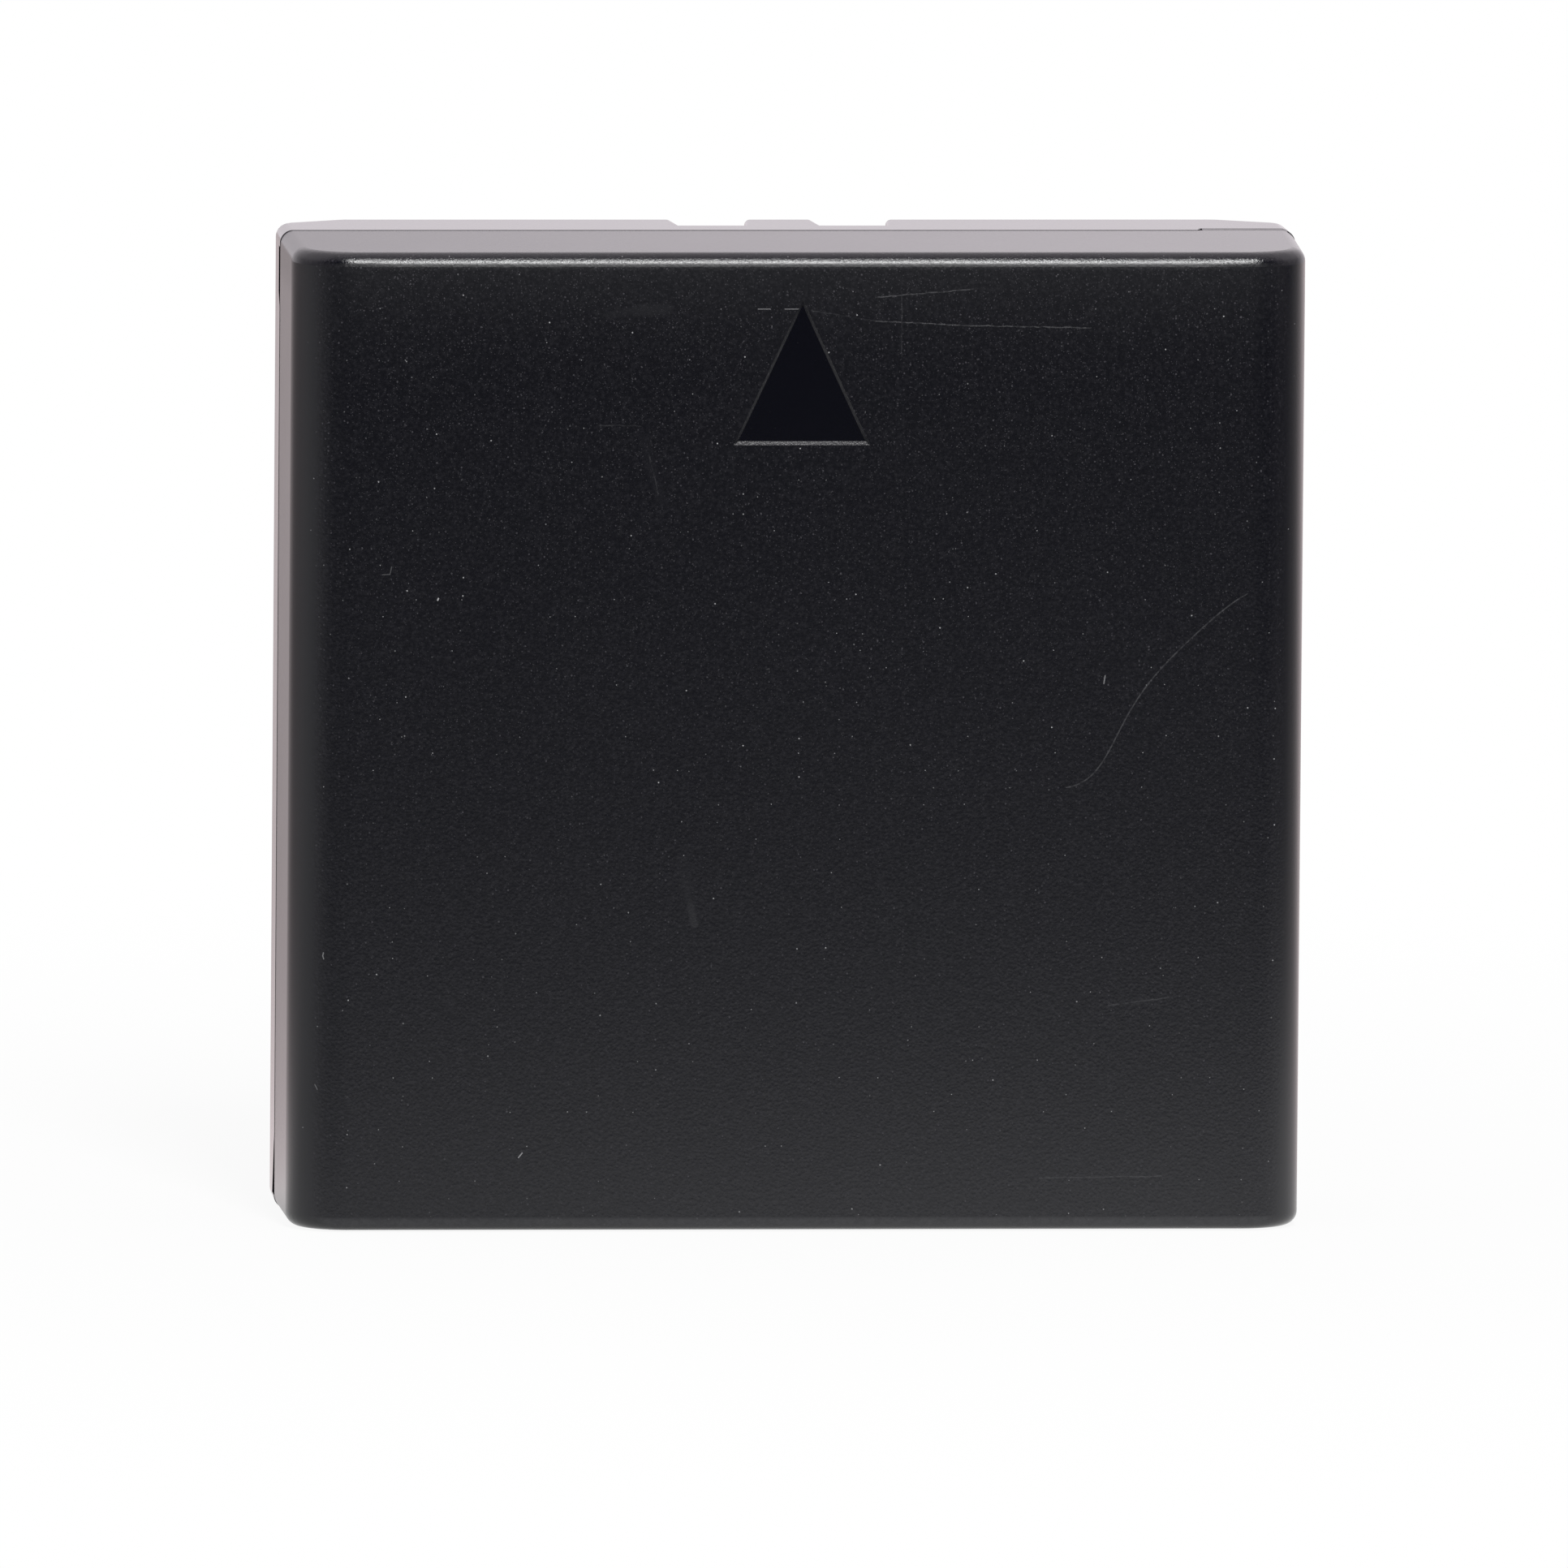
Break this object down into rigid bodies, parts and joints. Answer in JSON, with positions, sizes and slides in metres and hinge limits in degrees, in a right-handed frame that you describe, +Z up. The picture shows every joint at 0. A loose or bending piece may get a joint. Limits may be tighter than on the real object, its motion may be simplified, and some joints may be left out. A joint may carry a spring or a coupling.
{
  "type": "camera flash battery",
  "caption": "Flat rectangular rechargeable battery pack for a camera flash: moulded clamshell case, contact slots in the top edge and a sunk insertion arrow on the front.",
  "frame": {"origin": "middle of the footprint on the surface that the pack stands on", "axes": "+X across the width, +Y from the front face with the arrow to the back face with the contact slots, +Z up to the contact end"},
  "size_m": [0.066, 0.0216, 0.0638],
  "materials": {
    "front_case": "fine spark-eroded moulding grain",
    "back_case": "fine spark-eroded moulding grain",
    "contact_metal": "nickel plated strip",
    "cell_pouch": "aluminium laminate pouch",
    "cell_tape": "double-sided film tape",
    "foam": "soft closed-cell foam",
    "fibre_sheet": "vulcanised fibre sheet",
    "circuit_board": "green solder mask on glass laminate",
    "chip_plastic": "moulded epoxy",
    "resistor_ceramic": "glazed ceramic",
    "fuse_ceramic": "white ceramic",
    "capacitor_ceramic": "tan ceramic"
  },
  "bodies": {
    "root": {"front_shell": "front_case", "back_shell": "back_case", "positive_contact": "contact_metal", "negative_contact": "contact_metal", "front_cell": "cell_pouch", "middle_cell": "cell_pouch", "rear_cell": "cell_pouch", "front_cell_tape": "cell_tape", "rear_cell_tape": "cell_tape", "front_foam_pad": "foam", "rear_foam_pad": "foam", "cell_insulator": "fibre_sheet", "protection_board": "circuit_board", "switching_transistors": "chip_plastic", "protection_chip": "chip_plastic", "sense_resistor": "resistor_ceramic", "thermistor": "resistor_ceramic", "fuse": "fuse_ceramic", "filter_capacitors": "capacitor_ceramic"}
  },
  "joints": []
}
